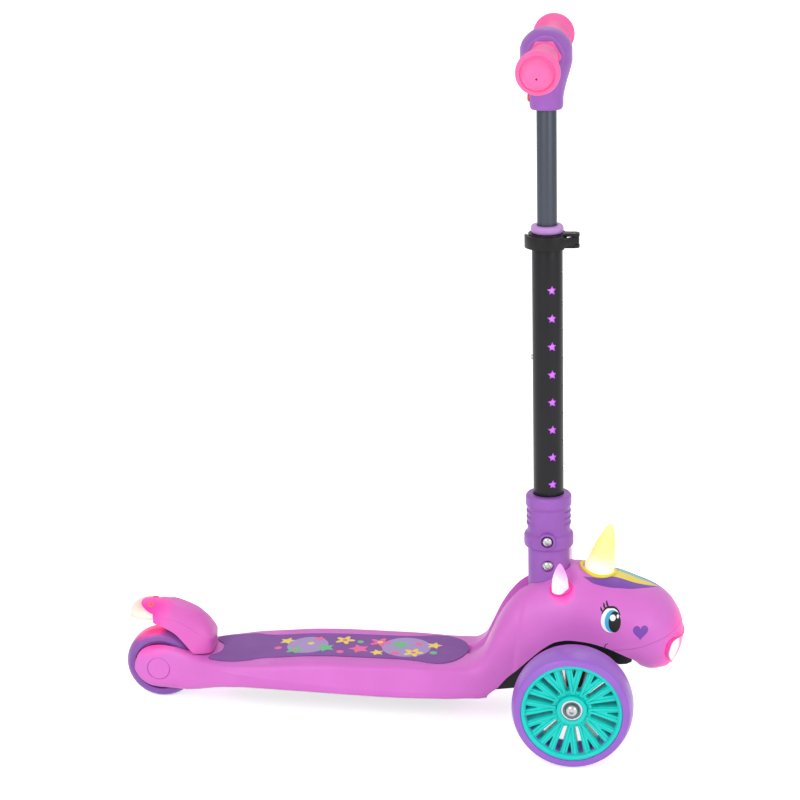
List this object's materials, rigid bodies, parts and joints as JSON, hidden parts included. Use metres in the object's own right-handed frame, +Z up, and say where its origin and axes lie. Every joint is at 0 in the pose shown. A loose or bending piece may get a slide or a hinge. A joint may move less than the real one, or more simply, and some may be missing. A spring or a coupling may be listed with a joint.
{
  "type": "three wheel kids scooter",
  "caption": "Lean-to-steer kids scooter with two front wheels and one rear wheel, an animal head with a horn over the truck, light-up stem, adjustable T bar and foot brake.",
  "frame": {"origin": "on the floor, below the middle of the scooter's length and width", "axes": "+X forward, +Y to the rider's left, +Z up"},
  "size_m": [0.5911, 0.286, 0.7229],
  "materials": {
    "body_pink": "moulded polypropylene, fine satin",
    "lavender_plastic": "moulded nylon, satin",
    "mat_purple": "printed grip mat, fine ribs",
    "black_plastic": "moulded nylon",
    "black_paint": "satin powder coat",
    "grey_steel": "brushed grey steel",
    "zinc": "zinc plated",
    "tyre_lavender": "cast polyurethane, satin",
    "rim_teal": "moulded polypropylene",
    "grip_pink": "soft moulded rubber",
    "horn_yellow": "translucent moulded plastic, lit",
    "clear_light": "frosted translucent plastic, lit",
    "tail_red": "translucent plastic, lit",
    "button_red": "moulded plastic",
    "black_rubber": "moulded rubber"
  },
  "bodies": {
    "deck": {"deck_shell": "body_pink", "grip_mat": "mat_purple", "fork_cap_right": "body_pink", "fork_cap_left": "body_pink", "under_tray": "black_plastic", "battery_cover": "black_plastic", "head_shell": "body_pink", "jaw_shell": "body_pink", "horn": "horn_yellow", "horn_base_ring": "horn_yellow", "ear_right": "clear_light", "ear_left": "clear_light", "nose_lens": "clear_light", "arch_liner": "black_plastic", "kingpin": "zinc", "rear_axle": "zinc", "rear_axle_nut": "zinc", "brake_hinge_pin": "zinc", "stem_tube": "black_paint", "star_light_guide": "clear_light", "stem_socket": "lavender_plastic", "stem_collar": "lavender_plastic", "lower_stem_bolt": "zinc", "lower_stem_nut": "zinc", "upper_stem_bolt": "zinc", "upper_stem_nut": "zinc", "tube_top_bush": "lavender_plastic", "clamp_collar": "black_plastic", "clamp_pin": "zinc"},
    "truck": {"truck_beam": "black_plastic", "truck_bush": "black_rubber", "axle_bolt_right": "zinc", "axle_bolt_left": "zinc"},
    "wheel_right": {"tyre_right": "tyre_lavender", "rim_right": "rim_teal", "outer_bearing_right": "zinc", "inner_bearing_right": "zinc"},
    "wheel_left": {"tyre_left": "tyre_lavender", "rim_left": "rim_teal", "outer_bearing_left": "zinc", "inner_bearing_left": "zinc"},
    "wheel_rear": {"rear_tyre": "tyre_lavender", "rear_rim": "rim_teal", "rear_bearing_right": "zinc", "rear_bearing_left": "zinc"},
    "brake": {"brake_fender": "body_pink", "brake_pad": "black_rubber", "tail_light_lens": "tail_red"},
    "bar": {"inner_tube": "grey_steel", "handle_hub": "lavender_plastic", "crossbar": "grey_steel", "grip_right": "grip_pink", "grip_left": "grip_pink"},
    "light_button": {"light_button": "button_red"},
    "snap_button": {"snap_button": "zinc"},
    "clamp_lever": {"clamp_lever": "black_plastic"}
  },
  "joints": [
    {"name": "truck_lean", "type": "hinge", "parent": "deck", "child": "truck", "pos_m": [0.187, 0, 0.061], "axis": [0.7071, 0, 0.7071], "range_deg": [-12, 12], "stiffness_Nm_per_rad": 60},
    {"name": "wheel_right_spin", "type": "hinge", "parent": "truck", "child": "wheel_right", "pos_m": [0.187, -0.1215, 0.061], "axis": [0, 1, 0], "continuous": true},
    {"name": "wheel_left_spin", "type": "hinge", "parent": "truck", "child": "wheel_left", "pos_m": [0.187, 0.1215, 0.061], "axis": [0, 1, 0], "continuous": true},
    {"name": "wheel_rear_spin", "type": "hinge", "parent": "deck", "child": "wheel_rear", "pos_m": [-0.257, 0, 0.038], "axis": [0, 1, 0], "continuous": true},
    {"name": "brake_press", "type": "hinge", "parent": "deck", "child": "brake", "pos_m": [-0.209, 0, 0.047], "axis": [0, -1, 0], "range_deg": [0, 3.5], "stiffness_Nm_per_rad": 12},
    {"name": "bar_height", "type": "slide", "parent": "deck", "child": "bar", "axis": [0.0223, 0, -0.9998], "range_m": [0, 0.11]},
    {"name": "light_button_press", "type": "slide", "parent": "bar", "child": "light_button", "axis": [0.9998, 0, 0.0223], "range_m": [0, 0.0015], "stiffness_N_per_m": 600},
    {"name": "snap_button_press", "type": "slide", "parent": "deck", "child": "snap_button", "axis": [0.9998, 0, 0.0223], "range_m": [0, 0.0018], "stiffness_N_per_m": 1200},
    {"name": "clamp_lever_swing", "type": "hinge", "parent": "deck", "child": "clamp_lever", "pos_m": [0.17329, 0, 0.51098], "axis": [-0.0223, 0, 0.9998], "range_deg": [0, 150]}
  ]
}
